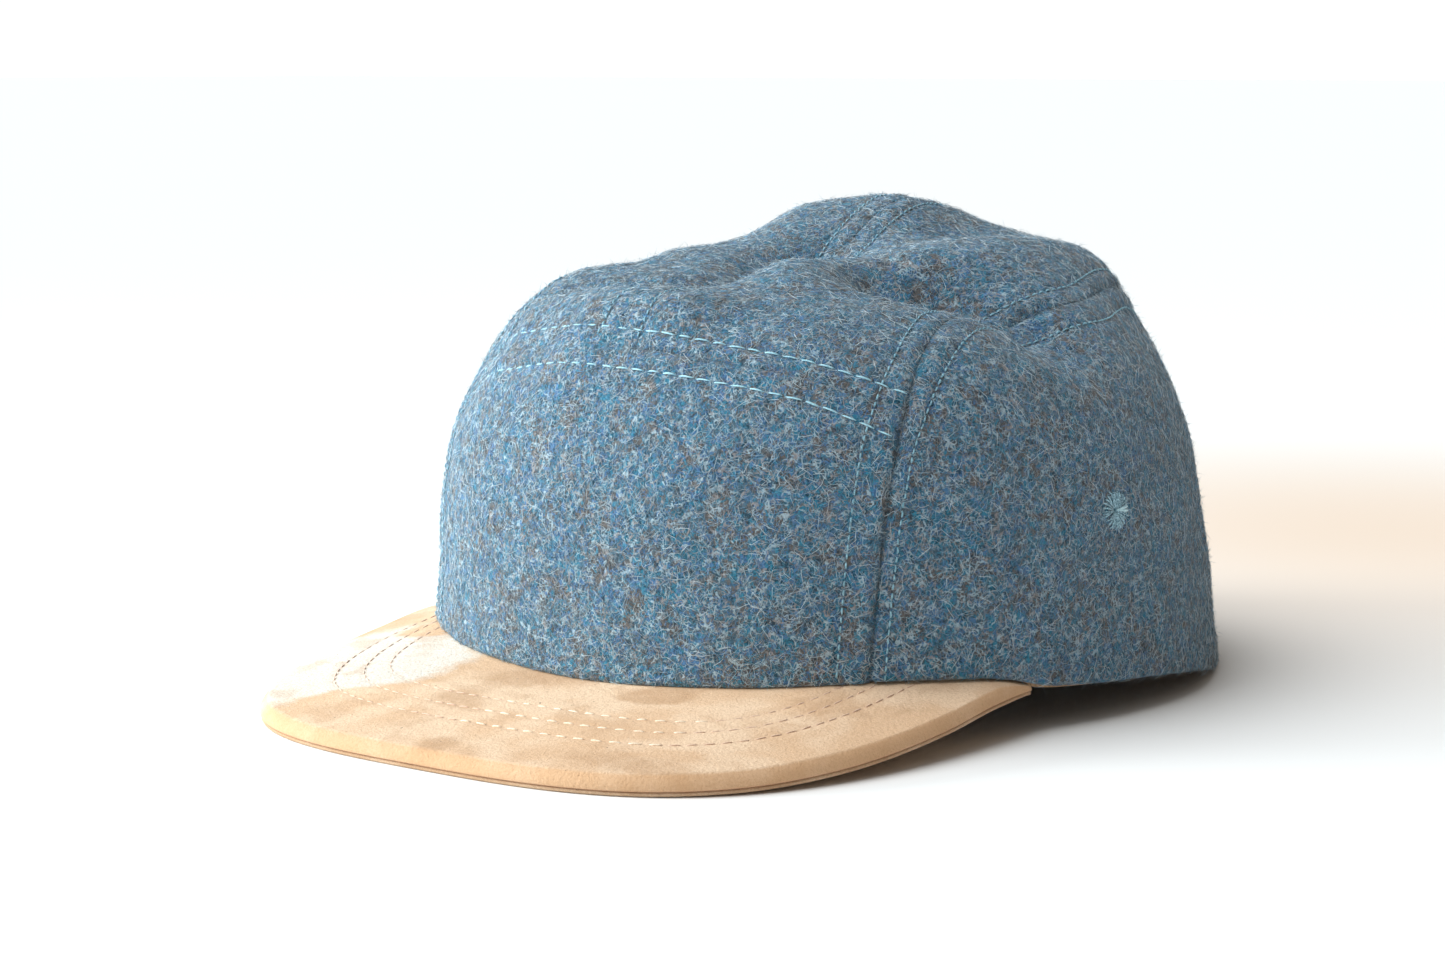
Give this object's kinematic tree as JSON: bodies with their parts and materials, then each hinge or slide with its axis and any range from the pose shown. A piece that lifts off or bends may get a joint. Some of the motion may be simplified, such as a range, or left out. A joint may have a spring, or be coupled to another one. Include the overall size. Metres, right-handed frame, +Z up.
{
  "type": "five-panel cap",
  "caption": "Low soft wool cap made of sewn panels, with a flat suede brim, a sewn eyelet on each side and a hollow that is open below for the head.",
  "frame": {"origin": "middle of the bottom of the cap's box, on the surface that the cap rests on", "axes": "+Z up, -Y the way the brim points, +X to the wearer's left"},
  "size_m": [0.1826, 0.246, 0.1123],
  "materials": {
    "wool": "fulled wool coating in mixed teal, blue, grey and brown fibres, fuzzy",
    "suede": "matt tan suede with a brushed nap",
    "under_cover": "matt tan suede, thin, with a rust-brown cut edge",
    "band": "plain woven tan cotton",
    "thread": "satin pale blue embroidery thread"
  },
  "bodies": {
    "root": {"front_panel": "wool", "top_panel_left": "wool", "top_panel_right": "wool", "side_panel_left": "wool", "side_panel_right": "wool", "brim_top": "suede", "brim_under": "under_cover", "sweatband": "band", "eyelet_left": "thread", "eyelet_right": "thread"}
  },
  "joints": []
}
